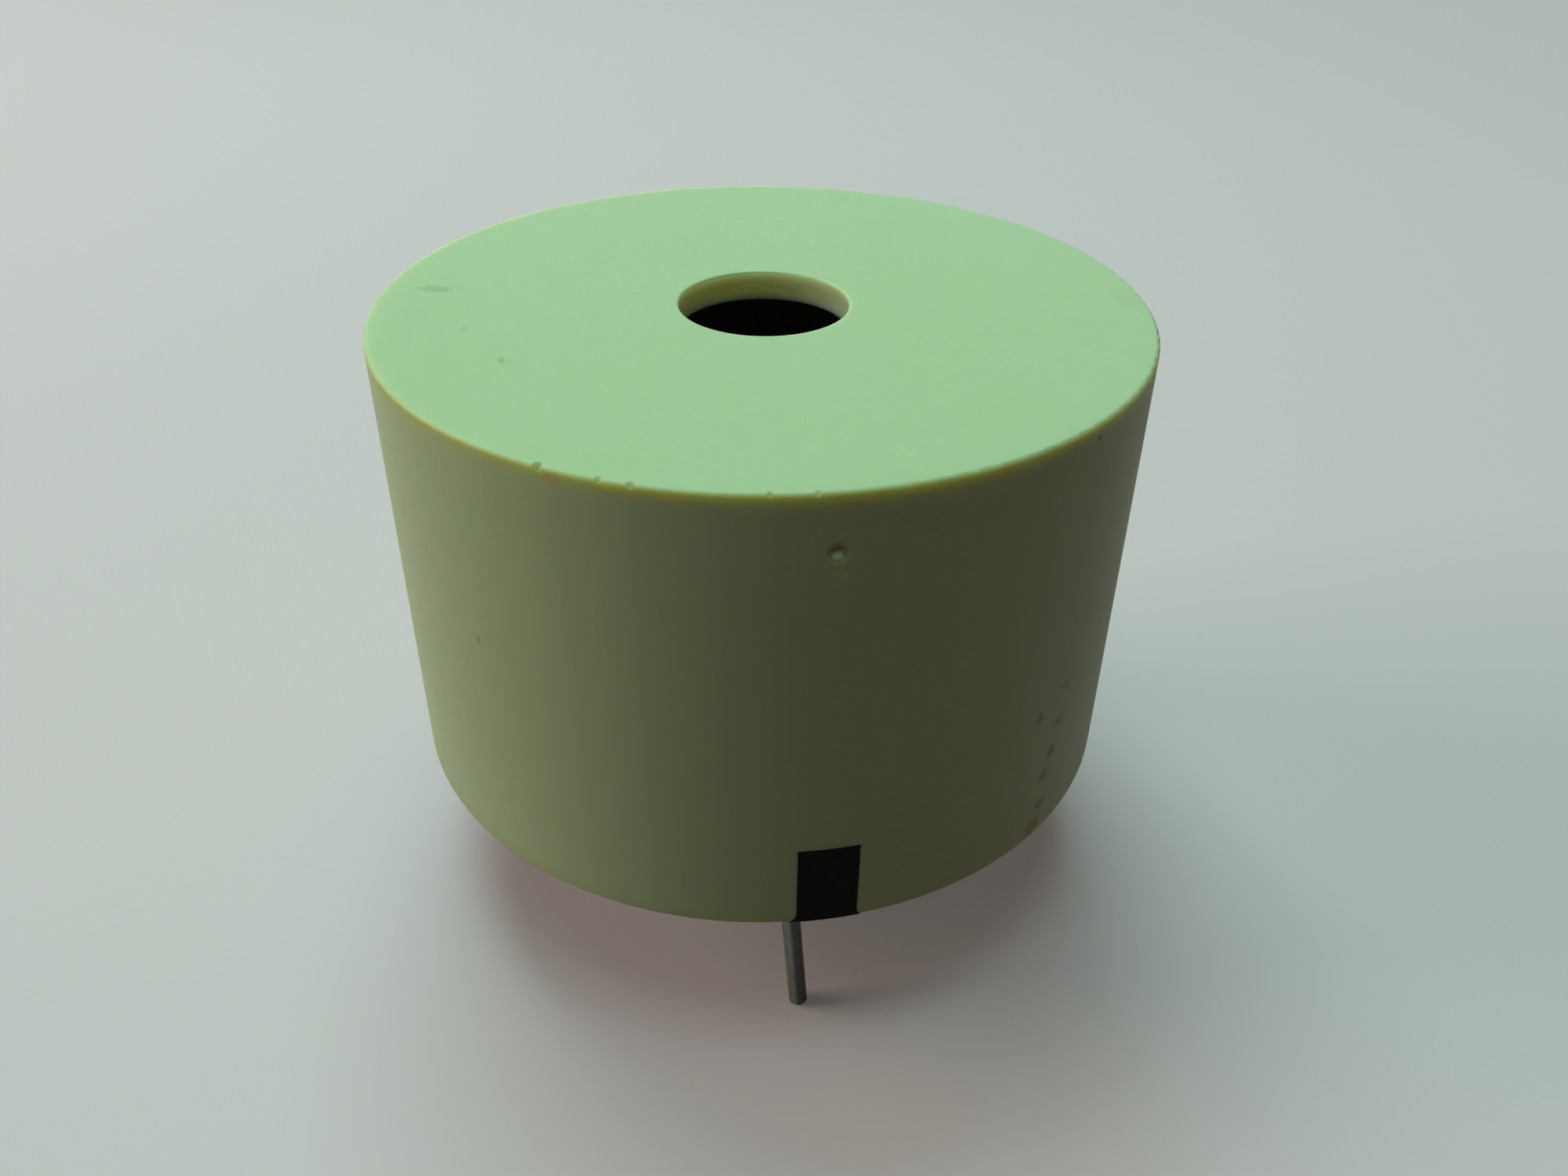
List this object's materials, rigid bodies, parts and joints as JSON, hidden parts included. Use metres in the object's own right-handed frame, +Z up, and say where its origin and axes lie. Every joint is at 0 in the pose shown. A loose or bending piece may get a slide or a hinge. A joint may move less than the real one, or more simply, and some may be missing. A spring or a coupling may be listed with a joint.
{
  "type": "magnetic buzzer",
  "caption": "Round ivory magnetic buzzer for a circuit board: moulded case with a sound hole and a keyed notch, coil, magnet and diaphragm inside, wire pins below",
  "frame": {"origin": "centre of the case's lower rim, on the plane that sits on the circuit board", "axes": "+Z up out of the sound hole, the terminal pins on the Y axis, and the front pin and the key toward -Y"},
  "size_m": [0.024, 0.024, 0.0207],
  "materials": {
    "ivory_plastic": "satin moulded, faintly soiled",
    "black_plastic": "satin moulded",
    "potting_resin": "poured resin",
    "board_laminate": "laminate",
    "tinned_wire": "dull tin plating",
    "solder": "solder",
    "transistor_epoxy": "moulded epoxy",
    "resistor_body": "coated ceramic",
    "diode_glass": "glass body",
    "plated_iron": "zinc plating",
    "bobbin_plastic": "moulded",
    "enamelled_copper": "enamelled wire",
    "ferrite": "sintered ferrite",
    "ring_plastic": "moulded",
    "diaphragm_steel": "blackened steel"
  },
  "bodies": {
    "root": {"case": "ivory_plastic", "inner_frame": "black_plastic", "potting_seal": "potting_resin", "circuit_board": "board_laminate", "positive_pin": "tinned_wire", "negative_pin": "tinned_wire", "solder_joints": "solder", "driver_transistor": "transistor_epoxy", "base_resistor": "resistor_body", "flyback_diode": "diode_glass", "yoke_plate": "plated_iron", "pole_core": "plated_iron", "coil_bobbin": "bobbin_plastic", "drive_winding": "enamelled_copper", "feedback_winding": "enamelled_copper", "coil_leads": "enamelled_copper", "ring_magnet": "ferrite", "support_ring": "ring_plastic", "diaphragm": "diaphragm_steel", "armature_disc": "diaphragm_steel"}
  },
  "joints": []
}
